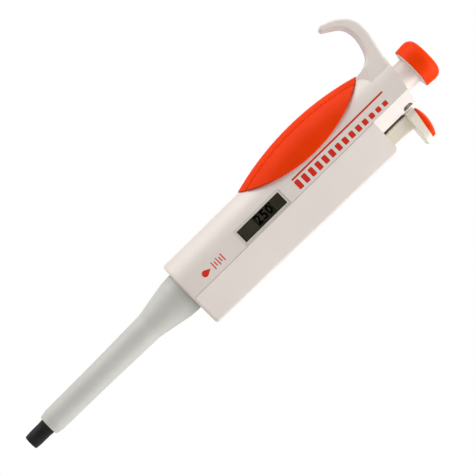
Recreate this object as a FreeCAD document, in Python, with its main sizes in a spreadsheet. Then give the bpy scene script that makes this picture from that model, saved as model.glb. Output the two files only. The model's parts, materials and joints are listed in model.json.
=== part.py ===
import math
import os
import re

import FreeCAD
import Part
import Sketcher

# An adjustable air-displacement micropipette, 250 microlitres, standing along +Z.
# The origin is on the pipette's axis at the end of the tip cone. The finger hook points to -X, the
# tip ejector is on the +X side and the display window looks to -Y. All lengths are millimetres.

DIMENSIONS = {
    # handle body: a tube with a round back, a flat front and back face and two facets on the right
    "body_low": 92.8,
    "body_left": -14.1,
    "half_depth": 13.2,
    "back_corner": 13.0,
    "crease_x": 4.9,
    "end_x": 11.1,
    "end_half": 8.0,
    "end_corner": 1.0,
    "wall": 1.8,
    "mitre_front": 0.364,
    "mitre_end": 0.467,
    "floor_thick": 1.8,
    "foot_round": 1.0,
    "floor_hole": 10.1,
    "bulkhead_low": 118.0,
    "bulkhead_high": 121.0,
    "bulkhead_hole": 8.1,
    "roof_low": 215.4,
    "bush_length": 11.0,
    "top_left_x": -7.5,
    "top_left_z": 221.6,
    "top_right_z": 218.4,
    "top_hole": 6.75,
    "arm_slot_half": 6.0,
    "rib_half": 1.2,
    "rib_reach": 9.2,
    "rib_low": 165.0,
    "rib_high": 195.0,
    "rib_play": 0.25,
    "notch_x": 9.5,
    "notch_low": 212.3,
    "notch_high": 217.1,
    "notch_round": 1.4,
    "notch_web": 2.6,
    # finger hook
    "hook_root_x": -7.5,
    "hook_root_half": 11.4,
    "hook_crease_z": 210.3,
    "crease_end_x": -16.6,
    "crease_end_z": 216.9,
    "hook_tip_half": 5.6,
    "hook_tip_x": -40.5,
    "hook_edge": 1.0,
    # display window
    "window_left": -2.6,
    "window_right": 3.5,
    "window_low": 125.6,
    "window_high": 149.8,
    "bezel": 0.5,
    "dish_margin": 0.6,
    "dish_depth": 0.35,
    "lens_front": 12.95,
    "lens_back": 11.95,
    "mask_back": 11.45,
    "mask_low": 134.3,
    "mask_high": 144.1,
    "mask_side": 0.45,
    # soft grip: a ring segment that swells out of the back, trimmed to a leaf by a large cylinder
    "grip_middle": 173.15,
    "grip_ring": 116.0,
    "grip_ring_x": 110.4,
    "grip_tube": 13.7,
    "leaf_radius": 63.5,
    "leaf_edge_x": -3.5,
    "grip_inset": 1.0,
    # ejector cover
    "cover_right_low": 19.25,
    "cover_right_high": 21.1,
    "cover_right_half": 7.75,
    "cover_corner": 1.4,
    "cover_play": 0.2,
    "cover_high": 199.3,
    "cover_wall": 1.5,
    "cover_shoulder": 1.9,
    # plunger
    "press_travel": 5.2,
    "bore_spring_radius": 5.95,
    "stem_radius": 6.3,
    "stem_low": 195.0,
    "stem_high": 231.0,
    "rod_flats": 2.5,
    "rod_round": 2.4,
    "rod_low": 128.45,
    "rod_hex_low": 150.0,
    "rod_high": 222.0,
    "cap_low": 227.8,
    "cap_high": 236.6,
    "cap_low_radius": 9.85,
    "cap_radius": 10.15,
    "cap_widest": 231.6,
    "cap_round": 3.8,
    "ring_low": 227.4,
    "ring_radius": 8.8,
    "spigot_radius": 4.0,
    "spigot_high": 234.0,
    # stop and volume drive
    "washer_thick": 1.0,
    "washer_radius": 7.4,
    "nut_low": 175.9,
    "nut_high": 183.9,
    "nut_radius": 10.2,
    "nut_flat": 8.8,
    "nut_groove": 8.9,
    "blowout_free": 6.0,
    "blowout_wire": 0.35,
    "thread_radius": 5.0,
    "spindle_high": 188.0,
    "journal_radius": 4.5,
    "flange_low": 150.0,
    "flange_high": 152.0,
    "flange_radius": 6.3,
    "hex_play": 0.06,
    "fit_play": 0.05,
    # counter
    "plate_gap": 0.3,
    "frame_low": 130.0,
    "frame_high": 132.5,
    "bridge_low": 146.2,
    "bridge_high": 149.4,
    "drum_radius": 8.9,
    "core_radius": 6.0,
    "core_step": 1.4,
    "core_bore": 3.1,
    "drum_pitch": 3.1,
    "drum_thick": 3.0,
    "drum_first": 134.6,
    "drum_gap": 0.1,
    "driver_rise": 0.2,
    "post_x": -5.1,
    "post_y": 8.83,
    "post_radius": 1.1,
    "screw_radius": 0.7,
    "screw_length": 5.5,
    "screw_head": 0.9,
    "axle_margin": 0.5,
    "axle_x": -10.45,
    "axle_radius": 0.5,
    "pinion_radius": 1.3,
    "pinion_rise": 1.6,
    "pinion_gap": 0.3,
    # piston and barrel
    "piston_radius": 4.405,
    "piston_low": 84.0,
    "piston_high": 126.0,
    "hub_radius": 5.25,
    "hub_low": 119.4,
    "head_low": 125.4,
    "head_high": 128.4,
    "head_radius": 6.6,
    "return_wire": 0.45,
    "chamber_radius": 4.65,
    "chamber_floor_gap": 0.3,
    "cup_low": 100.0,
    "cup_high": 127.0,
    "cup_bore": 6.9,
    "cup_radius": 7.9,
    "barrel_low": 22.0,
    "barrel_radius": 4.3,
    "barrel_narrow_high": 71.0,
    "barrel_wide_low": 79.0,
    "barrel_wide_high": 96.0,
    "barrel_wide_radius": 6.0,
    "joint_radius": 3.0,
    "joint_length": 12.0,
    "channel_radius": 1.2,
    "barrel_flange": 9.0,
    "flange_thick": 2.5,
    "nut_grip_high": 125.0,
    "seal_high": 103.0,
    "o_ring_shift": 0.1,
    "retainer_play": 0.4,
    "retainer_low": 105.2,
    "retainer_high": 106.8,
    # tip cone
    "cone_end_radius": 3.35,
    "land_radius": 3.6,
    "land_low": 3.0,
    "land_high": 8.0,
    "cone_top_radius": 3.8,
    "cone_top": 10.6,
    "cone_step": 3.0,
    "cone_lip": 0.5,
    "orifice_radius": 0.9,
    # ejector sleeve, from its lip up
    "sleeve_low": 10.8,
    "sleeve_lip_radius": 4.9,
    "sleeve_lip_high": 14.0,
    "sleeve_low_radius": 5.5,
    "sleeve_mid": 42.0,
    "sleeve_mid_radius": 5.75,
    "sleeve_flare_low": 71.0,
    "sleeve_flare_low_radius": 6.4,
    "sleeve_flare_high": 87.0,
    "sleeve_flare_high_radius": 9.35,
    "sleeve_straight": 91.0,
    "sleeve_wall": 1.0,
    "sleeve_high": 104.0,
    "collar_high": 112.0,
    "collar_radius": 9.6,
    # ejector
    "eject_travel": 9.5,
    "eject_x": 15.3,
    "eject_rod_radius": 1.6,
    "eject_rod_low": 105.5,
    "arm_low": 106.0,
    "arm_high": 111.0,
    "arm_half": 3.5,
    "arm_left": 5.0,
    "arm_reach": 2.25,
    "arm_corner": 0.8,
    "guide_low": 150.0,
    "guide_high": 154.0,
    "guide_right": 18.2,
    "guide_half": 5.5,
    "eject_spring_radius": 2.35,
    "eject_spring_wire": 0.3,
    "eject_stem_low": 186.0,
    "eject_stem_high": 212.7,
    "eject_stem_left": 12.0,
    "eject_stem_right": 18.8,
    "eject_stem_half": 5.0,
    "eject_stem_corner": 0.9,
    "eject_rod_grip": 8.0,
    "tongue_left": 10.6,
    "tongue_half": 2.0,
    "tongue_high": 211.2,
    "slot_play": 0.2,
    "button_half": 7.5,
    "button_left": 11.5,
    "button_right": 28.4,
    "button_left_low": 211.6,
    "button_right_low": 210.4,
    "button_right_high": 213.3,
    "button_left_high": 216.1,
    "button_nose": 1.2,
    "button_plan_round": 5.0,
    "pad_left": 12.8,
    "pad_right": 27.1,
    "pad_half": 6.6,
    "pad_round": 4.3,
    "pad_low": 212.9,
    "pad_dome": 16.3,
    "pad_dome_x": 18.35,
    "pad_dome_z": 201.95,
    "pad_rim": 0.8,
}

# The finger hook from the side, as (x, z): up the back, under the arch to the tip, and home.
HOOK = [
    (-7.6, 203.0),
    (-13.0, 203.0),
    (-13.6, 207.3),
    (-14.5, 212.8),
    (-16.6, 216.9),
    (-20.9, 219.1),
    (-27.8, 220.0),
    (-32.6, 218.4),
    (-35.6, 214.8),
    (-37.4, 211.8),
    (-39.4, 210.9),
    (-40.2, 212.6),
    (-38.8, 216.8),
    (-35.9, 221.1),
    (-31.6, 224.2),
    (-26.0, 224.9),
    (-18.0, 223.5),
    (-7.6, 221.62),
]
HOOK_NOSE = 9  # the first of the three points that round the tip

BEYOND = 20.0  # half the length of a cut that goes right through the handle


document = FreeCAD.newDocument("micropipette")
sheet = document.addObject("Spreadsheet::Sheet", "dims")
for row, (alias, size) in enumerate(DIMENSIONS.items(), start=1):
    sheet.set(f"A{row}", alias)
    sheet.set(f"B{row}", str(size))
    sheet.setAlias(f"B{row}", alias)
document.recompute()

parts = {}


def bound(text):
    """An expression in the sheet's aliases, written the way setExpression wants it."""
    return re.sub(r"[a-z]\w+", lambda word: "dims." + word.group(0), str(text))


def value(text):
    return float(sheet.evalExpression(bound(text)))


def keep(node, thing):
    """Names a finished piece and puts it on the list of pieces."""
    thing.Label = node
    parts[node] = thing
    return thing


# ---- sketches ----------------------------------------------------------------------------------


def place_point(sketch, geometry, position, corner):
    for kind, text in (("DistanceX", corner[0]), ("DistanceY", corner[1])):
        number = sketch.addConstraint(Sketcher.Constraint(kind, -1, 1, geometry, position, value(text)))
        sketch.setExpression(f"Constraints[{number}]", bound(text))


def new_sketch(body, plane, offset="0"):
    sketch = body.newObject("Sketcher::SketchObject", body.Name + "_sketch")
    support = [f for f in body.Origin.OriginFeatures if f.Role == plane][0]
    sketch.AttachmentSupport = [(support, "")]
    sketch.MapMode = "FlatFace"
    sketch.setExpression(".AttachmentOffset.Base.z", bound(offset))
    return sketch


def rounded_corner(before, corner, after, radius):
    """Where an arc of this radius leaves and meets the two sides of a corner, and its centre."""
    inward = (before - corner).normalize()
    outward = (after - corner).normalize()
    half = inward.getAngle(outward) / 2
    reach = radius / math.tan(half)
    middle = (inward + outward).normalize() * (radius / math.sin(half))
    return corner + inward * reach, corner + outward * reach, corner + middle


def draw_outline(sketch, corners):
    """A closed outline through corners (x, y) or (x, y, radius), each tied to the sheet."""
    vectors = [FreeCAD.Vector(value(c[0]), value(c[1]), 0) for c in corners]
    count = len(corners)
    starts, ends, centres = list(vectors), list(vectors), [None] * count
    for i, corner in enumerate(corners):
        if len(corner) == 3:
            ends[i], starts[i], centres[i] = rounded_corner(
                vectors[i - 1], vectors[i], vectors[(i + 1) % count], value(corner[2])
            )
    lines = [
        sketch.addGeometry(Part.LineSegment(starts[i], ends[(i + 1) % count]), False) for i in range(count)
    ]
    for i, corner in enumerate(corners):
        before, after = lines[i - 1], lines[i]
        if centres[i] is None:
            sketch.addConstraint(Sketcher.Constraint("Coincident", before, 2, after, 1))
            place_point(sketch, after, 1, corner)
            continue
        first, last = ends[i] - centres[i], starts[i] - centres[i]
        leftward = first.cross(last).z > 0
        low, high = (first, last) if leftward else (last, first)
        circle = Part.Circle(centres[i], FreeCAD.Vector(0, 0, 1), first.Length)
        arc = sketch.addGeometry(
            Part.ArcOfCircle(circle, math.atan2(low.y, low.x), math.atan2(high.y, high.x)), False
        )
        point = sketch.addGeometry(Part.Point(vectors[i]), True)
        place_point(sketch, point, 1, corner)
        sketch.addConstraint(Sketcher.Constraint("PointOnObject", point, 1, before))
        sketch.addConstraint(Sketcher.Constraint("PointOnObject", point, 1, after))
        sketch.addConstraint(Sketcher.Constraint("Tangent", before, 2, arc, 1 if leftward else 2))
        sketch.addConstraint(Sketcher.Constraint("Tangent", arc, 2 if leftward else 1, after, 1))
        number = sketch.addConstraint(Sketcher.Constraint("Radius", arc, first.Length))
        sketch.setExpression(f"Constraints[{number}]", bound(corner[2]))


def draw_circle(sketch, x, y, radius):
    centre = FreeCAD.Vector(value(x), value(y), 0)
    circle = sketch.addGeometry(Part.Circle(centre, FreeCAD.Vector(0, 0, 1), value(radius)), False)
    place_point(sketch, circle, 3, (x, y))
    number = sketch.addConstraint(Sketcher.Constraint("Radius", circle, value(radius)))
    sketch.setExpression(f"Constraints[{number}]", bound(radius))


def sketched(body, plane, shapes, offset="0"):
    """A sketch of outlines (lists of corners) and circles (x, y, radius)."""
    sketch = new_sketch(body, plane, offset)
    for shape in shapes:
        if isinstance(shape, tuple):
            draw_circle(sketch, *shape)
        else:
            draw_outline(sketch, shape)
    return sketch


# ---- features ----------------------------------------------------------------------------------


def new_body(name):
    return document.addObject("PartDesign::Body", name)


def add_prism(body, shapes, low, high, plane="XY_Plane"):
    """A solid from low to high along the plane's normal: +Z, or -Y for the XZ plane."""
    pad = body.newObject("PartDesign::Pad", body.Name + "_pad")
    pad.Profile = sketched(body, plane, shapes, low)
    pad.setExpression("Length", bound(f"({high}) - ({low})"))
    document.recompute()
    return pad


def cut_prism(body, shapes, low, high, plane="XY_Plane"):
    """Removes what lies between low and high along the plane's normal."""
    before = body.Shape.Volume
    pocket = body.newObject("PartDesign::Pocket", body.Name + "_pocket")
    pocket.Profile = sketched(body, plane, shapes, low)
    pocket.Reversed = True
    pocket.setExpression("Length", bound(f"({high}) - ({low})"))
    document.recompute()
    if body.Shape.Volume > before - 1e-3:
        raise RuntimeError(f"a pocket in {body.Name} removed nothing")
    return pocket


def turn(body, corners, kind="PartDesign::Revolution"):
    """A solid, or a groove, turned about the axis from an outline of (radius, z) corners."""
    turned = body.newObject(kind, body.Name + "_turned")
    sketch = sketched(body, "XZ_Plane", [corners])
    turned.Profile = sketch
    turned.ReferenceAxis = (sketch, ["V_Axis"])
    turned.Angle = 360
    document.recompute()
    return turned


def turned_part(node, corners):
    body = new_body(node)
    turn(body, corners)
    return keep(node, body)


def tube_corners(inner, outer, low, high):
    return [(inner, low), (outer, low), (outer, high), (inner, high)]


def ring_part(node, inner, outer, low, high):
    return turned_part(node, tube_corners(inner, outer, low, high))


def round_edges(body, radius, chosen, kind="PartDesign::Fillet"):
    """Rounds, or chamfers, the body's edges for which chosen(edge) is true."""
    document.recompute()
    base = body.Tip
    names = [f"Edge{i}" for i, edge in enumerate(base.Shape.Edges, start=1) if chosen(edge)]
    if not names:
        raise RuntimeError(f"no edge to round in {body.Name}")
    rounding = body.newObject(kind, body.Name + "_rounding")
    rounding.Base = (base, names)
    rounding.setExpression("Radius" if kind == "PartDesign::Fillet" else "Size", bound(radius))
    document.recompute()
    return rounding


def boolean(kind, name, base, tool):
    result = document.addObject(kind, name)
    result.Base = base
    result.Tool = tool
    document.recompute()
    return result


def coil(node, radius, wire, low, high, turns, centre_x="0"):
    """A compression spring round a vertical line at centre_x, from low to high."""
    body = new_body(node)
    sketch = sketched(body, "XZ_Plane", [(f"{radius}", f"{low} + {wire}", f"{wire}")])
    spring = body.newObject("PartDesign::AdditiveHelix", node + "_helix")
    spring.Profile = sketch
    spring.ReferenceAxis = (sketch, ["V_Axis"])
    spring.Mode = 2
    spring.Turns = turns
    spring.setExpression("Height", bound(f"({high}) - ({low}) - 2 * {wire}"))
    body.setExpression(".Placement.Base.x", bound(centre_x))
    document.recompute()
    return keep(node, body)


def on_side(edge, axis, place, slack=0.05):
    """True where every point of the edge has this coordinate."""
    low = getattr(edge.BoundBox, axis + "Min")
    high = getattr(edge.BoundBox, axis + "Max")
    return abs(low - place) < slack and abs(high - place) < slack


# ---- handle ------------------------------------------------------------------------------------


def handle_section(inset="0"):
    """The handle's cross-section, drawn in by inset on every side."""
    left = f"body_left + ({inset})"
    front = f"half_depth - ({inset})"
    crease = f"crease_x - mitre_front * ({inset})"
    end = f"end_x - ({inset})"
    end_y = f"end_half - mitre_end * ({inset})"
    corner = f"back_corner - ({inset})"
    return [
        (left, f"-({front})", corner),
        (crease, f"-({front})"),
        (end, f"-({end_y})", "end_corner"),
        (end, end_y, "end_corner"),
        (crease, front),
        (left, front, corner),
    ]


def rectangle(left, right, low, high, corner=None):
    extra = (corner,) if corner else ()
    return [(left, low) + extra, (right, low) + extra, (right, high) + extra, (left, high) + extra]


def hook_wire():
    """The hook's outline: a smooth curve under the arch, a smooth curve over it, straight roots."""
    vectors = [FreeCAD.Vector(x, 0, z) for x, z in HOOK]
    under = Part.BSplineCurve()
    under.interpolate(vectors[1 : HOOK_NOSE + 1])
    nose = Part.Arc(*vectors[HOOK_NOSE : HOOK_NOSE + 3])
    over = Part.BSplineCurve()
    over.interpolate(vectors[HOOK_NOSE + 2 :])
    edges = [
        Part.LineSegment(vectors[0], vectors[1]).toShape(),
        under.toShape(),
        nose.toShape(),
        over.toShape(),
        Part.LineSegment(vectors[-1], vectors[0]).toShape(),
    ]
    return Part.Wire(edges)


def on_arch(box):
    """True for the long edges of the arch and its tip, false for the root's and the bevels' edges."""
    return box.XLength > 1.5 and box.XMin < -20 and box.YLength < 9


def make_hook():
    """The hook narrows from its root to its tip; bevels lead its flat sides into the round back."""
    root_half = value("hook_root_half")
    root_x = value("hook_root_x")
    blank = Part.Face(hook_wire()).extrude(FreeCAD.Vector(0, 2 * root_half, 0))
    blank.translate(FreeCAD.Vector(0, -root_half, 0))
    tip_x, tip_half = value("hook_tip_x"), value("hook_tip_half")
    low = min(z for _, z in HOOK) - 3
    high = max(z for _, z in HOOK) + 3
    corners = [
        FreeCAD.Vector(root_x, -root_half, low),
        FreeCAD.Vector(tip_x, -tip_half, low),
        FreeCAD.Vector(tip_x, tip_half, low),
        FreeCAD.Vector(root_x, root_half, low),
        FreeCAD.Vector(root_x, -root_half, low),
    ]
    taper = Part.Face(Part.makePolygon(corners)).extrude(FreeCAD.Vector(0, 0, high - low))
    blade = blank.common(taper)
    along = FreeCAD.Vector(value("crease_end_x") - root_x, 0, value("crease_end_z") - value("hook_crease_z"))
    length = along.Length
    root_run = 30
    along.normalize()
    for side in (-1, 1):
        outward = FreeCAD.Vector(-along.z, side, along.x).normalize()
        frame = FreeCAD.Rotation(along, outward.cross(along), outward, "ZXY")
        start = FreeCAD.Vector(root_x, side * root_half, value("hook_crease_z"))
        bevel = Part.makeBox(root_run + length, 120, 60, FreeCAD.Vector(-root_run, -60, 0))
        bevel.Placement = FreeCAD.Placement(start, frame)
        blade = blade.cut(bevel)
    arch = [edge for edge in blade.Edges if on_arch(edge.BoundBox)]
    blade = blade.makeFillet(value("hook_edge"), arch)
    hook = document.addObject("Part::Feature", "hook")
    hook.Shape = blade
    return hook


def make_handle_core():
    """The handle tube before the grip's seat is cut and the hook is joined on."""
    body = new_body("handle_core")
    add_prism(body, [handle_section()], "body_low", "top_left_z + 1")
    round_edges(body, "foot_round", lambda e: on_side(e, "Z", value("body_low")))
    slope = "(top_left_z - top_right_z) / (end_x - top_left_x)"
    cut_prism(
        body,
        [[
            ("body_left - 5", f"top_left_z + {slope} * (top_left_x - body_left + 5)"),
            ("end_x + 5", f"top_right_z - {slope} * 5"),
            ("end_x + 5", "top_left_z + 9"),
            ("body_left - 5", "top_left_z + 9"),
        ]],
        f"-{BEYOND}",
        f"{BEYOND}",
        "XZ_Plane",
    )
    cut_prism(body, [handle_section("wall")], "body_low + floor_thick", "bulkhead_low")
    cut_prism(body, [handle_section("wall")], "bulkhead_high", "roof_low")
    cut_prism(body, [("0", "0", "floor_hole")], "body_low - 1", "body_low + floor_thick + 1")
    cut_prism(body, [("0", "0", "bulkhead_hole")], "bulkhead_low - 1", "bulkhead_high + 1")
    cut_prism(body, [("0", "0", "top_hole")], "roof_low - 1", "top_left_z + 3")
    slot = rectangle("-arm_slot_half", "arm_slot_half", "body_low + floor_thick", "bulkhead_low")
    cut_prism(body, [slot], "end_x - wall - 1", "end_x + 1", "YZ_Plane")
    notch = [
        ("notch_x", "notch_low", "notch_round"),
        ("end_x + 1", "notch_low"),
        ("end_x + 1", "notch_high"),
        ("notch_x", "notch_high", "notch_round"),
    ]
    cut_prism(body, [notch], f"-{BEYOND}", "-notch_web", "XZ_Plane")
    cut_prism(body, [notch], "notch_web", f"{BEYOND}", "XZ_Plane")
    tongue_run = rectangle(
        "tongue_left - slot_play", "end_x + 1", "-(tongue_half + slot_play)", "tongue_half + slot_play"
    )
    cut_prism(body, [tongue_run], "eject_stem_low - eject_travel - slot_play", "notch_high")
    for side in ("-", ""):
        near = f"{side}rib_reach"
        far = f"{side}(half_depth - wall + 0.2)"
        low, high = (far, near) if side else (near, far)
        add_prism(body, [rectangle("-rib_half", "rib_half", low, high)], "rib_low", "rib_high")
    dish = rectangle(
        "window_left - bezel - dish_margin",
        "window_right + bezel + dish_margin",
        "window_low - bezel - dish_margin",
        "window_high + bezel + dish_margin",
        "bezel",
    )
    cut_prism(body, [dish], "half_depth - dish_depth", "half_depth + 1", "XZ_Plane")
    opening = rectangle(
        "window_left - bezel", "window_right + bezel", "window_low - bezel", "window_high + bezel"
    )
    cut_prism(body, [opening], "half_depth - wall - 1", "half_depth + 1", "XZ_Plane")
    return body


def make_grip():
    """The soft grip: the swelling ring segment inside the leaf, less the handle it is moulded on."""
    ring = document.addObject("Part::Torus", "grip_swell")
    ring.setExpression("Radius1", bound("grip_ring"))
    ring.setExpression("Radius2", bound("grip_tube"))
    ring.setExpression(".Placement.Base.x", bound("grip_ring_x"))
    ring.setExpression(".Placement.Base.z", bound("grip_middle"))
    ring.Placement.Rotation = FreeCAD.Rotation(FreeCAD.Vector(1, 0, 0), 90)
    leaf = document.addObject("Part::Cylinder", "grip_leaf")
    leaf.setExpression("Radius", bound("leaf_radius"))
    leaf.Height = 3 * BEYOND
    leaf.setExpression(".Placement.Base.x", bound("leaf_edge_x - leaf_radius"))
    leaf.Placement.Base.y = 1.5 * BEYOND
    leaf.setExpression(".Placement.Base.z", bound("grip_middle"))
    leaf.Placement.Rotation = FreeCAD.Rotation(FreeCAD.Vector(1, 0, 0), 90)
    document.recompute()
    swell = boolean("Part::Common", "grip_blank", ring, leaf)
    core = new_body("grip_core")
    add_prism(core, [handle_section("grip_inset")], "body_low", "top_left_z")
    return keep("soft_grip", boolean("Part::Cut", "soft_grip", swell, core))


def make_handle():
    grip = make_grip()
    seated = boolean("Part::Cut", "handle_seated", make_handle_core(), grip)
    hook = make_hook()
    hollow = new_body("hook_hollow")
    add_prism(hollow, [handle_section("wall")], "bulkhead_high", "roof_low")
    trimmed = boolean("Part::Cut", "hook_trimmed", hook, hollow)
    clear = boolean("Part::Cut", "hook_clear", trimmed, grip)
    keep("handle_body", boolean("Part::Fuse", "handle_body", seated, clear))


def cover_block(name, inset, low, high):
    """The cover's outer block, or its hollow when drawn in by inset: the right side leans outwards."""
    front = f"half_depth - {inset}"
    right = f"cover_right_high - {inset}"
    right_y = f"cover_right_half - 0.4 * ({inset})"
    body = new_body(name)
    section = [("crease_x", f"-({front})"), (right, f"-({right_y})"), (right, right_y), ("crease_x", front)]
    add_prism(body, [section], low, high)
    lean = [
        (right, "cover_high"),
        ("cover_right_high + 3", "cover_high"),
        ("cover_right_high + 3", "body_low"),
        (f"{right} - cover_right_high + cover_right_low", "body_low"),
    ]
    cut_prism(body, [lean], f"-{BEYOND}", f"{BEYOND}", "XZ_Plane")
    return body


def make_cover():
    """The box on the handle's right that hides the ejector rod."""
    block = cover_block("cover_block", "0", "body_low", "cover_high")
    low_z = value("body_low")
    crease_x = value("crease_x")

    def outside(edge):
        right = edge.BoundBox.XMax > crease_x + 1 and not on_side(edge, "X", crease_x)
        return right and (on_side(edge, "Z", low_z) or edge.BoundBox.ZLength > 90)

    round_edges(block, "cover_corner", outside)
    shoulder = [
        ("cover_right_high - cover_shoulder", "cover_high"),
        ("cover_right_high + 1", "cover_high - cover_shoulder - 1"),
        ("cover_right_high + 1", "cover_high + 1"),
        ("cover_right_high - cover_shoulder", "cover_high + 1"),
    ]
    cut_prism(block, [shoulder], f"-{BEYOND}", f"{BEYOND}", "XZ_Plane")
    hollow = cover_block("cover_hollow", "cover_wall", "body_low + cover_wall", "cover_high - cover_wall")
    shell = boolean("Part::Cut", "cover_shell", block, hollow)
    cutter = new_body("cover_cutter")
    opening = rectangle(
        "end_x - 1",
        "eject_stem_right + cover_play",
        "-(eject_stem_half + cover_play)",
        "eject_stem_half + cover_play",
    )
    add_prism(cutter, [opening], "cover_high - 5", "cover_high + 1")
    opened = boolean("Part::Cut", "cover_opened", shell, cutter)
    handle = new_body("cover_inside")
    add_prism(handle, [handle_section()], "body_low - 1", "top_left_z")
    keep("ejector_cover", boolean("Part::Cut", "ejector_cover", opened, handle))


def make_window():
    def frame(node, grow, shrink, back, front):
        body = new_body(node)
        outer = rectangle(
            f"window_left - {grow}", f"window_right + {grow}", f"window_low - {grow}", f"window_high + {grow}"
        )
        shapes = [outer]
        if shrink:
            shapes.append(shrink)
        add_prism(body, shapes, back, front, "XZ_Plane")
        return keep(node, body)

    lens_edge = rectangle("window_left", "window_right", "window_low", "window_high")
    frame("window_bezel", "bezel", lens_edge, "mask_back", "half_depth - dish_depth + 0.15")
    frame("display_window", "0", None, "lens_back", "lens_front")
    aperture = rectangle("window_left + mask_side", "window_right - mask_side", "mask_low", "mask_high")
    frame("counter_mask", "0", aperture, "mask_back", "lens_back")


# ---- counter and volume drive ------------------------------------------------------------------


def make_counter():
    plate = handle_section("wall + plate_gap")
    posts = [("post_x", "-post_y", "post_radius"), ("post_x", "post_y", "post_radius")]
    screws = [("post_x", "-post_y", "screw_radius"), ("post_x", "post_y", "screw_radius")]
    axle = ("axle_x", "0", "axle_radius")

    frame = new_body("counter_frame")
    add_prism(frame, [plate], "frame_low", "frame_high")
    core_low = "drum_first - drum_gap"
    add_prism(frame, [("0", "0", "core_radius + core_step")], "frame_high", core_low)
    add_prism(frame, [("0", "0", "core_radius")], core_low, f"{core_low} + 2 * drum_pitch")
    add_prism(frame, posts, "frame_high", "bridge_low")
    cut_prism(frame, [("0", "0", "core_bore")], "frame_low - 1", "bridge_low")
    cut_prism(frame, [axle], "frame_low - 1", "frame_high + 1")
    cut_prism(frame, screws, "bridge_low - screw_length - 0.5", "bridge_low + 1")
    keep("counter_frame", frame)

    bridge = new_body("counter_bridge")
    add_prism(bridge, [plate], "bridge_low", "bridge_high")
    cut_prism(bridge, [("0", "0", "journal_radius + fit_play")], "bridge_low - 1", "bridge_high + 1")
    cut_prism(bridge, screws + [axle], "bridge_low - 1", "bridge_high + 1")
    keep("counter_bridge", bridge)

    bolts = new_body("bridge_screws")
    add_prism(bolts, screws, "bridge_low - screw_length", "bridge_high")
    add_prism(bolts, posts, "bridge_high", "bridge_high + screw_head")
    keep("bridge_screws", bolts)

    pin = new_body("pinion_axle")
    add_prism(pin, [axle], "frame_low + axle_margin", "bridge_high - axle_margin")
    keep("pinion_axle", pin)

    for step, node in enumerate(("drum_hundreds", "drum_tens", "drum_units")):
        low = f"drum_first + {step} * drum_pitch"
        bore = "core_radius" if node == "drum_units" else "core_radius + fit_play"
        ring_part(node, bore, "drum_radius", low, f"{low} + drum_thick")

    for step, node in enumerate(("pinion_hundreds", "pinion_tens")):
        low = f"drum_first + {step} * drum_pitch + pinion_rise"
        high = f"{low} + drum_pitch - pinion_gap"
        pinion = new_body(node)
        shaft_hole = ("axle_x", "0", "axle_radius + fit_play")
        add_prism(pinion, [("axle_x", "0", "pinion_radius"), shaft_hole], low, high)
        keep(node, pinion)


def hexagon(flats):
    """A hexagon about the axis with this distance from the middle to a flat, points to +X and -X."""
    point = 1 / math.cos(math.radians(30))
    corners = []
    for turn_angle in range(0, 360, 60):
        x = point * math.cos(math.radians(turn_angle))
        y = point * math.sin(math.radians(turn_angle))
        corners.append((f"{x:.5f} * ({flats})", f"{y:.5f} * ({flats})"))
    return corners


def make_volume_drive():
    driver_low = "drum_first + 2 * drum_pitch + driver_rise"
    spindle = new_body("volume_spindle")
    turn(
        spindle,
        [
            ("core_bore", driver_low),
            ("journal_radius", driver_low),
            ("journal_radius", "flange_low"),
            ("flange_radius", "flange_low"),
            ("flange_radius", "flange_high"),
            ("thread_radius", "flange_high"),
            ("thread_radius", "spindle_high"),
            ("core_bore", "spindle_high"),
        ],
    )
    bushing = [("0", "0", "core_bore"), hexagon("rod_flats + hex_play")]
    add_prism(spindle, bushing, "rod_hex_low + 6", "spindle_high")
    keep("volume_spindle", spindle)

    ring_part("drum_driver", "journal_radius", "core_radius", driver_low, "bridge_low - drum_gap")
    washer_bore = "journal_radius + slot_play"
    ring_part("thrust_washer", washer_bore, "flange_radius", "bridge_high", "flange_low - fit_play")

    nut = new_body("stop_nut")
    add_prism(nut, [("0", "0", "nut_radius"), ("0", "0", "thread_radius + fit_play")], "nut_low", "nut_high")
    groove_half = "rib_half + rib_play"
    for flat_low, flat_high in (("nut_flat", f"{BEYOND}"), (f"-{BEYOND}", "-nut_flat")):
        flat = rectangle(flat_low, flat_high, f"-{BEYOND}", f"{BEYOND}")
        cut_prism(nut, [flat], "nut_low - 1", "nut_high + 1")
    for groove_low, groove_high in (("nut_groove", f"{BEYOND}"), (f"-{BEYOND}", "-nut_groove")):
        groove = rectangle(f"-({groove_half})", groove_half, groove_low, groove_high)
        cut_prism(nut, [groove], "nut_low - 1", "nut_high + 1")
    keep("stop_nut", nut)
    spring_high = "nut_high + blowout_free"
    coil("blowout_spring", "bore_spring_radius", "blowout_wire", "nut_high", spring_high, 3.5)


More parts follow.
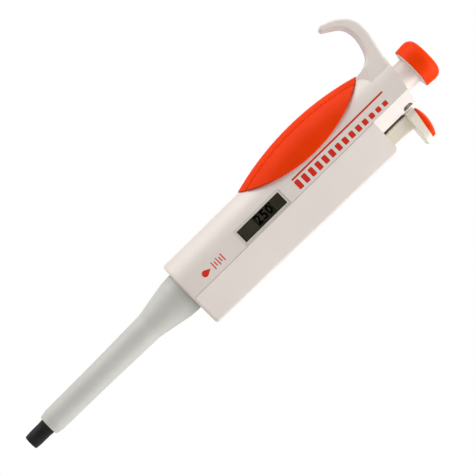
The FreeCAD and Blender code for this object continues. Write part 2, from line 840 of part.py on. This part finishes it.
def make_plunger():
    rod = new_body("push_rod")
    add_prism(rod, [("0", "0", "rod_round")], "rod_low", "rod_hex_low + 0.5")
    add_prism(rod, [hexagon("rod_flats")], "rod_hex_low", "rod_high")
    keep("push_rod", rod)

    turned_part(
        "plunger_stem",
        [
            ("core_bore", "stem_low"),
            ("stem_radius", "stem_low"),
            ("stem_radius", "stem_high"),
            ("spigot_radius", "stem_high"),
            ("spigot_radius", "spigot_high"),
            ("0", "spigot_high"),
            ("0", "rod_high"),
            ("core_bore", "rod_high"),
        ],
    )
    ring_part("stop_washer", "core_bore", "washer_radius", "stem_low - washer_thick", "stem_low")
    turned_part(
        "button_cap",
        [
            ("0", "spigot_high"),
            ("spigot_radius", "spigot_high"),
            ("spigot_radius", "stem_high"),
            ("ring_radius", "stem_high"),
            ("ring_radius", "cap_low"),
            ("cap_low_radius", "cap_low"),
            ("cap_radius", "cap_widest"),
            ("cap_radius - 0.1", "cap_high", "cap_round"),
            ("0", "cap_high"),
        ],
    )
    turned_part(
        "button_ring",
        [
            ("stem_radius", "ring_low"),
            ("ring_radius", "ring_low", "0.4"),
            ("ring_radius", "stem_high"),
            ("stem_radius", "stem_high"),
        ],
    )
    bush_low = "roof_low - bush_length"
    ring_part("top_guide_bush", "stem_radius + fit_play", "drum_radius", bush_low, "roof_low")


# ---- piston and barrel -------------------------------------------------------------------------


def make_piston():
    turned_part(
        "piston",
        [
            ("0", "piston_low"),
            ("piston_radius", "piston_low", "cone_lip"),
            ("piston_radius", "piston_high"),
            ("0", "piston_high"),
        ],
    )
    turned_part(
        "piston_carrier",
        [
            ("piston_radius", "hub_low"),
            ("hub_radius", "hub_low"),
            ("hub_radius", "head_low"),
            ("head_radius", "head_low"),
            ("head_radius", "head_high"),
            ("0", "head_high"),
            ("0", "piston_high"),
            ("piston_radius", "piston_high"),
        ],
    )
    coil("return_spring", "bore_spring_radius", "return_wire", "retainer_high", "head_low", 7)
    ring_part("piston_seal", "piston_radius + fit_play", "cup_bore", "cup_low", "seal_high")
    o_ring = document.addObject("Part::Torus", "seal_o_ring")
    o_ring.setExpression("Radius1", bound("(piston_radius + cup_bore) / 2 + o_ring_shift"))
    o_ring.setExpression("Radius2", bound("(retainer_low - seal_high) / 2"))
    o_ring.setExpression(".Placement.Base.z", bound("(retainer_low + seal_high) / 2"))
    document.recompute()
    keep("seal_o_ring", o_ring)
    retainer_bore = "piston_radius + retainer_play"
    ring_part("seal_retainer", retainer_bore, "cup_bore", "retainer_low", "retainer_high")
    chamber_low = "piston_low - press_travel - chamber_floor_gap"
    turned_part(
        "inner_barrel",
        [
            ("joint_radius", "barrel_low"),
            ("barrel_radius", "barrel_low"),
            ("barrel_radius", "barrel_narrow_high"),
            ("barrel_wide_radius", "barrel_wide_low"),
            ("barrel_wide_radius", "barrel_wide_high"),
            ("cup_radius", "cup_low"),
            ("cup_radius", "bulkhead_low - flange_thick"),
            ("barrel_flange", "bulkhead_low - flange_thick"),
            ("barrel_flange", "bulkhead_low"),
            ("cup_radius", "bulkhead_low"),
            ("cup_radius", "cup_high"),
            ("cup_bore", "cup_high"),
            ("cup_bore", "cup_low"),
            ("chamber_radius", "cup_low"),
            ("chamber_radius", chamber_low),
            ("channel_radius", chamber_low),
            ("channel_radius", "barrel_low + joint_length"),
            ("joint_radius", "barrel_low + joint_length"),
        ],
    )
    ring_part("shaft_nut", "cup_radius", "barrel_flange", "bulkhead_high", "nut_grip_high")
    turned_part(
        "tip_cone",
        [
            ("orifice_radius", "0"),
            ("cone_end_radius", "0", "cone_lip"),
            ("land_radius", "land_low"),
            ("land_radius", "land_high"),
            ("cone_top_radius", "cone_top"),
            ("barrel_radius", "cone_top + cone_step"),
            ("barrel_radius", "barrel_low"),
            ("joint_radius", "barrel_low"),
            ("joint_radius", "barrel_low + joint_length"),
            ("orifice_radius", "barrel_low + joint_length"),
        ],
    )


# ---- ejector -----------------------------------------------------------------------------------


def make_sleeve():
    """A slim tube that flares out to the handle's width, the same wall all the way up."""
    corners = [
        ("sleeve_low_radius", "sleeve_lip_high", "6"),
        ("sleeve_mid_radius", "sleeve_mid"),
        ("sleeve_flare_low_radius", "sleeve_flare_low", "12"),
        ("sleeve_flare_high_radius", "sleeve_flare_high", "9"),
        ("collar_radius", "sleeve_straight"),
        ("collar_radius", "sleeve_high"),
    ]
    inside = [(f"{c[0]} - sleeve_wall", c[1]) for c in reversed(corners)]
    inside[3] += ("12",)
    lip = ("sleeve_lip_radius", "sleeve_low")
    inner_lip = ("sleeve_low_radius - sleeve_wall", "sleeve_low")
    turned_part("ejector_sleeve", [lip] + corners + inside + [inner_lip])


def make_ejector():
    rod_hole = ("eject_x", "0", "eject_rod_radius")
    arm = new_body("arm_bridge")
    blank = rectangle("arm_left", "eject_x + arm_reach", "-arm_half", "arm_half", "arm_corner")
    add_prism(arm, [blank, rod_hole], "arm_low", "arm_high")
    cut_prism(arm, [("0", "0", "collar_radius - sleeve_wall / 2")], "arm_low - 1", "arm_high + 1")
    collar = new_body("arm_collar")
    turn(collar, tube_corners("collar_radius - sleeve_wall", "collar_radius", "sleeve_high", "collar_high"))
    keep("ejector_arm", boolean("Part::Fuse", "ejector_arm", arm, collar))

    rod = new_body("ejector_rod")
    rod_high = "eject_stem_low + eject_rod_grip"
    add_prism(rod, [rod_hole], "eject_rod_low", rod_high)
    keep("ejector_rod", rod)

    stem = new_body("ejector_stem")
    outline = rectangle(
        "eject_stem_left",
        "eject_stem_right",
        "-eject_stem_half",
        "eject_stem_half",
        "eject_stem_corner",
    )
    tongue = rectangle("tongue_left", "eject_stem_left + 1", "-tongue_half", "tongue_half")
    add_prism(stem, [outline], "eject_stem_low", "eject_stem_high")
    add_prism(stem, [tongue], "eject_stem_low", "tongue_high")
    cut_prism(stem, [rod_hole], "eject_stem_low - 1", rod_high)
    keep("ejector_stem", stem)

    guide = new_body("ejector_guide")
    blank = rectangle("end_x + drum_gap", "guide_right", "-guide_half", "guide_half")
    guide_hole = ("eject_x", "0", "eject_rod_radius + fit_play")
    add_prism(guide, [blank, guide_hole], "guide_low", "guide_high")
    keep("ejector_guide", guide)
    wire = "eject_spring_wire"
    coil("ejector_spring", "eject_spring_radius", wire, "guide_high", "eject_stem_low", 10, "eject_x")


def make_ejector_button():
    """The button seen from the side is a wedge with a round nose; its pad is a cushion on top."""
    button = new_body("ejector_button")
    side = [
        ("button_left", "button_left_low"),
        ("button_right", "button_right_low", "button_nose"),
        ("button_right", "button_right_high", "button_nose"),
        ("button_left", "button_left_high", "cone_lip"),
    ]
    add_prism(button, [side], "-button_half", "button_half", "XZ_Plane")
    keep_inside = new_body("button_plan")
    plan = rectangle(
        "button_left - 1", "button_right + 0.2", "-button_half", "button_half", "button_plan_round"
    )
    add_prism(keep_inside, [plan], "button_right_low - 1", "button_left_high + 1")
    shaped = boolean("Part::Common", "button_shaped", button, keep_inside)

    dome = document.addObject("Part::Sphere", "pad_dome")
    dome.setExpression("Radius", bound("pad_dome"))
    dome.setExpression(".Placement.Base.x", bound("pad_dome_x"))
    dome.setExpression(".Placement.Base.z", bound("pad_dome_z"))
    pad_plan = new_body("pad_plan")
    pad_edge = rectangle("pad_left", "pad_right", "-pad_half", "pad_half", "pad_round")
    add_prism(pad_plan, [pad_edge], "pad_low", "pad_dome_z + pad_dome + 1")
    document.recompute()
    raised = boolean("Part::Common", "pad_raised", dome, pad_plan)
    rim = [edge for edge in raised.Shape.Edges if edge.BoundBox.ZMin > value("pad_low") + 1]
    cushion = document.addObject("Part::Feature", "pad_cushion")
    cushion.Shape = raised.Shape.makeFillet(value("pad_rim"), rim)
    keep("ejector_pad", cushion)
    topped = boolean("Part::Cut", "button_topped", shaped, raised)
    keep("ejector_button", boolean("Part::Cut", "ejector_button", topped, parts["ejector_stem"]))


def check_and_export():
    document.recompute()
    broken = [item.Name for item in document.Objects if {"Invalid", "Error"} & set(item.State)]
    if broken:
        raise RuntimeError(f"failed objects: {broken}")
    os.makedirs("parts", exist_ok=True)
    for node, thing in parts.items():
        shape = thing.Shape
        if shape.isNull() or not shape.isValid() or not shape.Solids:
            raise RuntimeError(f"{node} has no valid solid")
        shape.exportStep(f"parts/{node}.step")


make_handle()
make_cover()
make_window()
make_counter()
make_volume_drive()
make_plunger()
make_piston()
make_sleeve()
make_ejector()
make_ejector_button()
check_and_export()
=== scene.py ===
import json
import math

import bmesh
import bpy
from mathutils import Matrix, Vector


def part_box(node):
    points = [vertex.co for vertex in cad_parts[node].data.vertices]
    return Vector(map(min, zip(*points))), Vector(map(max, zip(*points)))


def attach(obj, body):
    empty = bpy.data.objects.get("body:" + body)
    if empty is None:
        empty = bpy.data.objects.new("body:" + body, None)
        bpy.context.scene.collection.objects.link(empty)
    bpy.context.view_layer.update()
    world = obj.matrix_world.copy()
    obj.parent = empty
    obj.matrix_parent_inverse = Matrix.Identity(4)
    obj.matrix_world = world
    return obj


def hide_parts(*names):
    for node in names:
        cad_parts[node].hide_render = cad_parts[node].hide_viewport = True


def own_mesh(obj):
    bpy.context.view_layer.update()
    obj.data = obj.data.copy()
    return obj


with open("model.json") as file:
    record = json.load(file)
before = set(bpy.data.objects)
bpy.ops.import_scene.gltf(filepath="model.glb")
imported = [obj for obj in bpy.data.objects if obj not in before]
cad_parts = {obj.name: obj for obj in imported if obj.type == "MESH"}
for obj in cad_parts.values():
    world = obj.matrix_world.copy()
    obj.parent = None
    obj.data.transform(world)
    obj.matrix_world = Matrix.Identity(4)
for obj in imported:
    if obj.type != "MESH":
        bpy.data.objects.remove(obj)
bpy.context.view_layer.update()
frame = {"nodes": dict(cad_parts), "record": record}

MM = 0.001
NODES = frame["nodes"]


def low(node):
    """The corner of a node's box with the smallest coordinates."""
    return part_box(node)[0]


def high(node):
    """The corner of a node's box with the largest coordinates."""
    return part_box(node)[1]


# ---- materials -----------------------------------------------------------------------------------


def shader(name):
    """A node material, its tree and its main shader."""
    made = bpy.data.materials.new(name)
    made.use_nodes = True
    return made, made.node_tree, made.node_tree.nodes["Principled BSDF"]


def place(tree):
    """The point's place on its own object, in metres."""
    return tree.nodes.new("ShaderNodeTexCoord").outputs["Object"]


def noise(tree, scale, detail=2.0, roughness=0.5):
    """Noise over the object's own metres."""
    made = tree.nodes.new("ShaderNodeTexNoise")
    made.inputs["Scale"].default_value = scale
    made.inputs["Detail"].default_value = detail
    made.inputs["Roughness"].default_value = roughness
    tree.links.new(place(tree), made.inputs["Vector"])
    return made.outputs["Fac"]


def graded(tree, source, start, end, first, last):
    """A socket's value between start and end, carried over to run from first to last."""
    ranged = tree.nodes.new("ShaderNodeMapRange")
    ranged.inputs["From Min"].default_value = start
    ranged.inputs["From Max"].default_value = end
    ranged.inputs["To Min"].default_value = first
    ranged.inputs["To Max"].default_value = last
    tree.links.new(source, ranged.inputs["Value"])
    return ranged.outputs["Result"]


def spread(tree, source, low_value, high_value):
    """The noise, which stays near its middle, stretched to run between two values."""
    return graded(tree, source, 0.3, 0.7, low_value, high_value)


def tint(tree, source, dark, light):
    """A colour that drifts between two near shades with the noise."""
    ramp = tree.nodes.new("ShaderNodeValToRGB")
    ramp.color_ramp.elements[0].position = 0.35
    ramp.color_ramp.elements[0].color = (*dark, 1)
    ramp.color_ramp.elements[1].position = 0.65
    ramp.color_ramp.elements[1].color = (*light, 1)
    tree.links.new(source, ramp.inputs["Fac"])
    return ramp.outputs["Color"]


def bump(tree, source, distance, strength, under=None):
    """Relief this deep from a height, on top of the relief under it."""
    made = tree.nodes.new("ShaderNodeBump")
    made.inputs["Distance"].default_value = distance
    made.inputs["Strength"].default_value = strength
    tree.links.new(source, made.inputs["Height"])
    if under:
        tree.links.new(under, made.inputs["Normal"])
    return made.outputs["Normal"]


def blended(tree, amount, first, second):
    """Mixes a fixed second colour into the first, by the amount that a node gives."""
    mix = tree.nodes.new("ShaderNodeMix")
    mix.data_type = "RGBA"
    tree.links.new(amount, mix.inputs["Factor"])
    tree.links.new(first, mix.inputs[6])
    mix.inputs[7].default_value = (*second, 1)
    return mix.outputs[2]


def soiled(tree, colour, gap_shade):
    """Painted shade: the colour is darkened towards a dark brown in seams, slots and notches, where
    little of the sky is seen.
    """
    gap = tree.nodes.new("ShaderNodeAmbientOcclusion")
    gap.samples = 6
    gap.inputs["Distance"].default_value = 3.0 * MM
    share = graded(tree, gap.outputs["AO"], 0.12, 0.46, 0.88, 0.0)
    return blended(tree, share, colour, gap_shade)


def eased(tree):
    """Rounds the look of sharp edges, as a mould's polished corners do."""
    made = tree.nodes.new("ShaderNodeBevel")
    made.samples = 4
    made.inputs["Radius"].default_value = 0.28 * MM
    return made.outputs["Normal"]


def parting(tree, width, height, under):
    """The witness line that the two halves of a mould leave along the middle plane."""
    split = tree.nodes.new("ShaderNodeSeparateXYZ")
    away = tree.nodes.new("ShaderNodeMath")
    away.operation = "ABSOLUTE"
    tree.links.new(place(tree), split.inputs["Vector"])
    tree.links.new(split.outputs["Y"], away.inputs[0])
    ridge = graded(tree, away.outputs["Value"], 0.0, width, 1.0, 0.0)
    return bump(tree, ridge, height, 0.7, under)


def moulded(name, dark, light, rough, gloss=0.5, gap_shade=None):
    """Moulded plastic: a fine spark-eroded grain, faint flow waves, scuffed patches, and, when a shade
    colour is given, painted shade in seams and gaps.
    """
    made, tree, main = shader(name)
    main.inputs["Specular IOR Level"].default_value = gloss
    colour = tint(tree, noise(tree, 45.0, 3.0), dark, light)
    # Painted shade: the colour darkens in seams and gaps.
    if gap_shade:
        colour = soiled(tree, colour, gap_shade)
    tree.links.new(colour, main.inputs["Base Color"])
    tree.links.new(spread(tree, noise(tree, 130.0, 5.0, 0.7), *rough), main.inputs["Roughness"])
    line = parting(tree, 0.09 * MM, 0.00004, eased(tree))
    flow = bump(tree, noise(tree, 70.0, 1.0), 0.00006, 0.5, line)
    grain = bump(tree, noise(tree, 2600.0), 0.000012, 0.8, flow)
    tree.links.new(grain, main.inputs["Normal"])
    return made


def rubber(name, dark, light):
    """Soft overmoulded rubber: a matt skin with a pebbled grain."""
    made, tree, main = shader(name)
    main.inputs["Specular IOR Level"].default_value = 0.08
    tree.links.new(tint(tree, noise(tree, 60.0, 3.0), dark, light), main.inputs["Base Color"])
    tree.links.new(spread(tree, noise(tree, 220.0, 4.0, 0.7), 0.42, 0.58), main.inputs["Roughness"])
    pebble = bump(tree, noise(tree, 1500.0, 1.0), 0.00003, 0.7)
    tree.links.new(pebble, main.inputs["Normal"])
    return made


def metal(name, dark, light, rough):
    """Turned metal: rings left by the tool, which run round the pipette's axis."""
    made, tree, main = shader(name)
    main.inputs["Metallic"].default_value = 1.0
    tree.links.new(tint(tree, noise(tree, 300.0, 3.0), dark, light), main.inputs["Base Color"])
    tree.links.new(spread(tree, noise(tree, 500.0, 4.0), *rough), main.inputs["Roughness"])
    rings = tree.nodes.new("ShaderNodeTexWave")
    rings.bands_direction = "Z"
    rings.inputs["Scale"].default_value = 1200.0
    rings.inputs["Distortion"].default_value = 0.6
    tree.links.new(place(tree), rings.inputs["Vector"])
    tree.links.new(bump(tree, rings.outputs["Fac"], 0.000006, 0.5), main.inputs["Normal"])
    return made


def clear(name):
    """A clear window: a thin smoked sheet that lets light straight through, under a glossy face."""
    made, tree, main = shader(name)
    main.inputs["Base Color"].default_value = (0.02, 0.02, 0.018, 1)
    tree.links.new(spread(tree, noise(tree, 400.0, 3.0), 0.06, 0.14), main.inputs["Roughness"])
    through = tree.nodes.new("ShaderNodeBsdfTransparent")
    through.inputs["Color"].default_value = (0.92, 0.92, 0.90, 1)
    share = tree.nodes.new("ShaderNodeFresnel")
    share.inputs["IOR"].default_value = 1.35
    mix = tree.nodes.new("ShaderNodeMixShader")
    tree.links.new(share.outputs["Fac"], mix.inputs["Fac"])
    tree.links.new(through.outputs["BSDF"], mix.inputs[1])
    tree.links.new(main.outputs["BSDF"], mix.inputs[2])
    tree.links.new(mix.outputs["Shader"], tree.nodes["Material Output"].inputs["Surface"])
    return made


# The dark brown that the painted shade in seams, slots and notches darkens towards.
GAP_SHADE = (0.150, 0.118, 0.085)

# The shell, sleeve, beige and inner plastics take painted shade in their seams, slots and notches.
MATERIALS = {
    "shell": moulded(
        "shell", (0.785, 0.712, 0.660), (0.815, 0.742, 0.690), (0.36, 0.46), gap_shade=GAP_SHADE
    ),
    "sleeve_plastic": moulded(
        "sleeve_plastic", (0.590, 0.584, 0.543), (0.616, 0.610, 0.568), (0.38, 0.48), gap_shade=GAP_SHADE
    ),
    "beige_plastic": moulded(
        "beige_plastic", (0.945, 0.880, 0.750), (0.965, 0.900, 0.772), (0.34, 0.44), gap_shade=GAP_SHADE
    ),
    "orange_plastic": moulded(
        "orange_plastic", (0.880, 0.044, 0.000), (0.920, 0.052, 0.001), (0.38, 0.48), 0.07
    ),
    "grip_rubber": rubber("grip_rubber", (0.850, 0.040, 0.000), (0.885, 0.047, 0.001)),
    "black_plastic": moulded(
        "black_plastic", (0.003, 0.003, 0.003), (0.006, 0.006, 0.006), (0.34, 0.46), 0.3
    ),
    "dark_plastic": moulded(
        "dark_plastic", (0.185, 0.165, 0.112), (0.215, 0.192, 0.132), (0.55, 0.65), 0.3
    ),
    "drum_plastic": moulded(
        "drum_plastic", (0.225, 0.202, 0.140), (0.250, 0.225, 0.158), (0.55, 0.65), 0.3
    ),
    "lens": clear("lens"),
    "inner_plastic": moulded(
        "inner_plastic", (0.480, 0.480, 0.470), (0.520, 0.520, 0.510), (0.45, 0.55), gap_shade=GAP_SHADE
    ),
    "steel": metal("steel", (0.55, 0.55, 0.56), (0.64, 0.64, 0.65), (0.22, 0.34)),
    "brass": metal("brass", (0.66, 0.47, 0.20), (0.74, 0.55, 0.26), (0.26, 0.38)),
    "seal_rubber": rubber("seal_rubber", (0.012, 0.012, 0.012), (0.020, 0.020, 0.020)),
}
INK = moulded("print_ink", (0.660, 0.022, 0.006), (0.720, 0.028, 0.008), (0.50, 0.60), 0.25)
DIGIT_INK = moulded("digit_ink", (0.001, 0.001, 0.001), (0.003, 0.003, 0.003), (0.50, 0.60), 0.2)

for part in frame["record"]["subparts"]:
    mesh = NODES[part["node"]].data
    mesh.materials.clear()
    mesh.materials.append(MATERIALS[part["material_slot"]])


# ---- pieces --------------------------------------------------------------------------------------


def piece(name, mesh, body, material):
    """A new object that rides on a body."""
    made = bpy.data.objects.new(name, mesh)
    bpy.context.scene.collection.objects.link(made)
    mesh.materials.clear()
    mesh.materials.append(material)
    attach(made, body)
    return made


def applied(thing):
    """The object's mesh with its modifiers applied."""
    shown = thing.evaluated_get(bpy.context.evaluated_depsgraph_get())
    return bpy.data.meshes.new_from_object(shown)


# The grip is the outer side of a ring, which is this far from its centre to the middle of its tube.
# The groove lies at an angle round the tube, and only the skin of the grip takes it.
GRIP_RING = 116.0 * MM
SKIN = 0.5 * MM
GROOVE_ANGLE = math.radians(36)
GROOVE_HALF = 0.42 * MM
GROOVE_DEPTH = 0.50 * MM


def soft_grip():
    """The grip's skin: its edges roll into the seat, and a shallow groove runs down each side."""
    source = NODES["soft_grip"]
    copy = bpy.data.objects.new("grip_source", source.data.copy())
    bpy.context.scene.collection.objects.link(copy)
    remesh = copy.modifiers.new("even", "REMESH")
    remesh.mode = "VOXEL"
    remesh.voxel_size = 0.3 * MM
    remesh.use_smooth_shade = True
    mesh = applied(copy)
    bpy.data.objects.remove(copy)
    mesh.name = "soft_grip_skin"

    foot, head = low("soft_grip"), high("soft_grip")
    middle = (foot.z + head.z) / 2
    tube = head.y
    ring_x = foot.x + tube + GRIP_RING
    for vertex in mesh.vertices:
        x, y, z = vertex.co
        outwards = math.hypot(ring_x - x, z - middle) - GRIP_RING
        if outwards < 0 or math.hypot(outwards, y) < tube - SKIN:
            continue
        away = abs(math.atan2(abs(y), outwards) - GROOVE_ANGLE) * tube
        if away < GROOVE_HALF * 2:
            vertex.co -= vertex.normal * GROOVE_DEPTH * math.exp(-((away / GROOVE_HALF) ** 2) * 1.5)
    made = piece("soft_grip_skin", mesh, "handle", MATERIALS["grip_rubber"])
    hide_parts("soft_grip")


def working_spring(node, body):
    """A steel copy of a coil spring that rides on a body in place of its node."""
    made = piece(f"{node}_coil", NODES[node].data.copy(), body, MATERIALS["steel"])
    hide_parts(node)
    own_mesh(made)


# ---- print ---------------------------------------------------------------------------------------

# The handle's flat front ends on the left and turns into a round back of this radius. The ink lies
# just off both.
FRONT_Y = low("ejector_cover").y
BACK_RADIUS = 13.0 * MM
FLAT_LEFT = -1.1 * MM
INK_GAP = 0.012 * MM
INK_DEPTH = 0.02 * MM


def front_surface(x):
    """The handle's front face: flat to the right, turning into the round back on the left."""
    if x > FLAT_LEFT:
        return FRONT_Y
    return FRONT_Y + BACK_RADIUS - math.sqrt(BACK_RADIUS**2 - (x - FLAT_LEFT) ** 2)


def outline_mesh(outlines):
    """Flat faces from outlines of (x, z) points."""
    made = bmesh.new()
    for outline in outlines:
        made.faces.new([made.verts.new((x, 0, z)) for x, z in outline])
    return made


def sliced(work, step):
    """Cuts a flat mesh into strips that lie side by side along X."""
    places = [v.co.x for v in work.verts]
    cut = math.floor(min(places) / step) * step
    while cut < max(places):
        everything = work.verts[:] + work.edges[:] + work.faces[:]
        bmesh.ops.bisect_plane(work, geom=everything, plane_co=(cut, 0, 0), plane_no=(1, 0, 0))
        cut += step


def thick(work, name, depth):
    """Turns a surface into a thin closed skin of this depth."""
    bmesh.ops.recalc_face_normals(work, faces=work.faces[:])
    mesh = bpy.data.meshes.new(name)
    work.to_mesh(mesh)
    work.free()
    holder = bpy.data.objects.new(name, mesh)
    bpy.context.scene.collection.objects.link(holder)
    solid = holder.modifiers.new("thick", "SOLIDIFY")
    solid.thickness = depth
    solid.offset = 0
    result = applied(holder)
    bpy.data.objects.remove(holder)
    result.name = name
    return result


def rounded_bar(x_low, x_high, z_low, z_high, radius, steps=5):
    """The outline of a bar with round corners."""
    corners = (
        (x_high - radius, z_high - radius, 0),
        (x_low + radius, z_high - radius, 90),
        (x_low + radius, z_low + radius, 180),
        (x_high - radius, z_low + radius, 270),
    )
    points = []
    for x, z, start in corners:
        for i in range(steps + 1):
            angle = math.radians(start + 90 * i / steps)
            points.append((x + radius * math.cos(angle), z + radius * math.sin(angle)))
    return points


def printed(name, outlines):
    """Ink on the handle's front face, in strips so that it follows the curve."""
    work = outline_mesh(outlines)
    sliced(work, 0.5 * MM)
    for vertex in work.verts:
        vertex.co.y = front_surface(vertex.co.x) - INK_GAP
    mesh = thick(work, name, INK_DEPTH)
    piece(name, mesh, "handle", INK)


def stripe_mark():
    """A plain graphic up the handle: a long rule beside bars that step down in length."""
    left, right = -2.2 * MM, 3.6 * MM
    bottom, top = 157.5 * MM, 211.0 * MM
    rule = 0.8 * MM
    gap = 0.7 * MM
    outlines = [rounded_bar(left, left + rule, bottom, top, rule * 0.45)]
    count = 14
    pitch = (top - bottom) / count
    for i in range(count):
        length = (right - left - rule - gap) * (1.0 - 0.04 * i)
        start = bottom + pitch * i
        outlines.append(rounded_bar(right - length, right, start, start + pitch * 0.62, 0.5 * MM))
    printed("stripe_mark", outlines)


def volume_mark():
    """A small drop below a row of graduation ticks, below the window."""
    centre_x, centre_z = 0.7 * MM, 104.0 * MM
    radius = 1.5 * MM
    drop = []
    for i in range(28):
        angle = math.radians(-125 + 250 * i / 27)
        drop.append((centre_x + radius * math.sin(angle), centre_z - radius * math.cos(angle)))
    drop.append((centre_x, centre_z + radius * 2.1))
    outlines = [drop]
    for i in range(5):
        z = centre_z + 4.6 * MM + i * 1.35 * MM
        half = (1.9 if i % 2 == 0 else 1.2) * MM
        outlines.append(rounded_bar(centre_x - half, centre_x + half, z, z + 0.5 * MM, 0.2 * MM))
    printed("volume_mark", outlines)


# ---- number drums --------------------------------------------------------------------------------

DIGIT_HEIGHT = 4.5 * MM
DIGIT_WIDTH = 2.45 * MM
DIGIT_LIFT = 1.0015


def digit_faces(text):
    """A digit's flat faces about the origin. Its top points towards -X, and it reads along +Z."""
    curve = bpy.data.curves.new("digit", "FONT")
    curve.body = text
    curve.align_x = "CENTER"
    curve.offset = 0.03
    curve.resolution_u = 6
    holder = bpy.data.objects.new("digit", curve)
    bpy.context.scene.collection.objects.link(holder)
    mesh = applied(holder)
    bpy.data.objects.remove(holder)
    xs = [v.co.x for v in mesh.vertices]
    ys = [v.co.y for v in mesh.vertices]
    middle_x, middle_y = (min(xs) + max(xs)) / 2, (min(ys) + max(ys)) / 2
    scale = DIGIT_HEIGHT / (max(ys) - min(ys))
    squeeze = min(scale, DIGIT_WIDTH / (max(xs) - min(xs)))
    for vertex in mesh.vertices:
        across = (vertex.co.x - middle_x) * squeeze
        up = (vertex.co.y - middle_y) * scale
        vertex.co = (-up, 0, across)
    work = bmesh.new()
    work.from_mesh(mesh)
    bpy.data.meshes.remove(mesh)
    sliced(work, 0.4 * MM)
    return work


def drum_numbers(node, body, front_digit, step):
    """Ten digits just off a drum's face, the shown one at the front and the lower ones towards +X."""
    radius = high(node).x
    middle = (low(node).z + high(node).z) / 2
    whole = bmesh.new()
    for seat in range(10):
        digit = (front_digit - step * seat) % 10
        work = digit_faces(str(digit))
        turn = Matrix.Rotation(math.radians(36 * seat), 3, "Z")
        for vertex in work.verts:
            angle = vertex.co.x / radius
            flat = Vector((radius * math.sin(angle), -radius * math.cos(angle), 0)) * DIGIT_LIFT
            vertex.co = turn @ Vector((flat.x, flat.y, middle + vertex.co.z))
        part_mesh = bpy.data.meshes.new("digit_part")
        work.to_mesh(part_mesh)
        work.free()
        whole.from_mesh(part_mesh)
        bpy.data.meshes.remove(part_mesh)
    name = node.replace("drum_", "digits_")
    mesh = thick(whole, name, INK_DEPTH)
    piece(name, mesh, body, DIGIT_INK)


# ---- stage ---------------------------------------------------------------------------------------


def camera():
    """Looks along +Y from 1 m, rolled so that the pipette leans to the upper right."""
    distance = 1.0
    seen_width = 0.20325
    lean = math.radians(44.5)
    aim = Vector((-0.0004, 0.0, 0.1244))
    data = bpy.data.cameras.new("camera")
    data.lens = 36.0 * distance / seen_width
    data.sensor_width = 36.0
    data.clip_start = 0.01
    made = bpy.data.objects.new("camera", data)
    right = Vector((math.sin(lean), 0, math.cos(lean)))
    up = Vector((-math.cos(lean), 0, math.sin(lean)))
    back = Vector((0, -1, 0))
    turn = Matrix((right, up, back)).transposed().to_4x4()
    made.matrix_world = Matrix.Translation(aim + back * distance) @ turn
    bpy.context.scene.collection.objects.link(made)
    bpy.context.scene.camera = made


def softbox(name, azimuth, elevation, distance, width, height, power):
    """A rectangular light aimed at the handle's middle. Azimuth 0 is in front, 90 on the +X side."""
    target = Vector((0, 0, 0.13))
    a, e = math.radians(azimuth), math.radians(elevation)
    way = Vector((math.sin(a) * math.cos(e), -math.cos(a) * math.cos(e), math.sin(e)))
    data = bpy.data.lights.new(name, "AREA")
    data.shape = "RECTANGLE"
    data.size = width
    data.size_y = height
    data.energy = power
    made = bpy.data.objects.new(name, data)
    made.location = target + way * distance
    made.rotation_mode = "QUATERNION"
    made.rotation_quaternion = way.to_track_quat("Z", "Y")
    bpy.context.scene.collection.objects.link(made)


def two_faced(tree, to_light, to_camera):
    """One shader for the light that is thrown at the object, and another for what the camera sees."""
    mix = tree.nodes.new("ShaderNodeMixShader")
    ray = tree.nodes.new("ShaderNodeLightPath")
    tree.links.new(ray.outputs["Is Camera Ray"], mix.inputs["Fac"])
    tree.links.new(to_light, mix.inputs[1])
    tree.links.new(to_camera, mix.inputs[2])
    return mix.outputs["Shader"]


def surroundings():
    """White where the camera sees past the object, and a soft grey for the light that it gives."""
    world = bpy.data.worlds.new("surroundings")
    bpy.context.scene.world = world
    world.use_nodes = True
    tree = world.node_tree
    tree.nodes.clear()
    out = tree.nodes.new("ShaderNodeOutputWorld")
    ambient = tree.nodes.new("ShaderNodeBackground")
    ambient.inputs["Color"].default_value = (1.0, 0.985, 0.97, 1)
    ambient.inputs["Strength"].default_value = 0.25
    white = tree.nodes.new("ShaderNodeBackground")
    white.inputs["Color"].default_value = (1, 1, 1, 1)
    white.inputs["Strength"].default_value = 1.0
    both = two_faced(tree, ambient.outputs["Background"], white.outputs["Background"])
    tree.links.new(both, out.inputs["Surface"])


def floor():
    """A pale floor below the tip cone, which the camera sees as white."""
    size = 1.6
    height = -0.012
    mesh = bpy.data.meshes.new("floor")
    corners = [(-size, -size, height), (size, -size, height), (size, size, height), (-size, size, height)]
    mesh.from_pydata(corners, [], [(0, 1, 2, 3)])
    made = bpy.data.objects.new("floor", mesh)
    bpy.context.scene.collection.objects.link(made)
    paint, tree, main = shader("floor_paint")
    main.inputs["Base Color"].default_value = (0.60, 0.60, 0.60, 1)
    main.inputs["Roughness"].default_value = 0.9
    glow = tree.nodes.new("ShaderNodeEmission")
    both = two_faced(tree, main.outputs["BSDF"], glow.outputs["Emission"])
    tree.links.new(both, tree.nodes["Material Output"].inputs["Surface"])
    mesh.materials.append(paint)


camera()
surroundings()
floor()
# Name, azimuth and elevation in degrees, distance, width and height in metres, watts.
softbox("left_box", -80, 20, 0.85, 0.70, 1.0, 6.8)
softbox("right_box", 78, 32, 0.85, 0.70, 0.9, 8.2)
softbox("top_box", 0, 80, 0.8, 0.6, 0.6, 0.4)
softbox("rear_box", 180, 20, 0.9, 0.9, 0.9, 2.2)
softbox("front_box", 0, 52, 0.41, 0.25, 0.25, 0.15)
bpy.context.scene.view_settings.view_transform = "Standard"

soft_grip()
working_spring("return_spring", "handle")
working_spring("blowout_spring", "stop_nut")
working_spring("ejector_spring", "handle")
stripe_mark()
volume_mark()
drum_numbers("drum_hundreds", "hundreds_drum", 2, 1)
drum_numbers("drum_tens", "tens_drum", 5, 1)
drum_numbers("drum_units", "spindle", 0, 2)
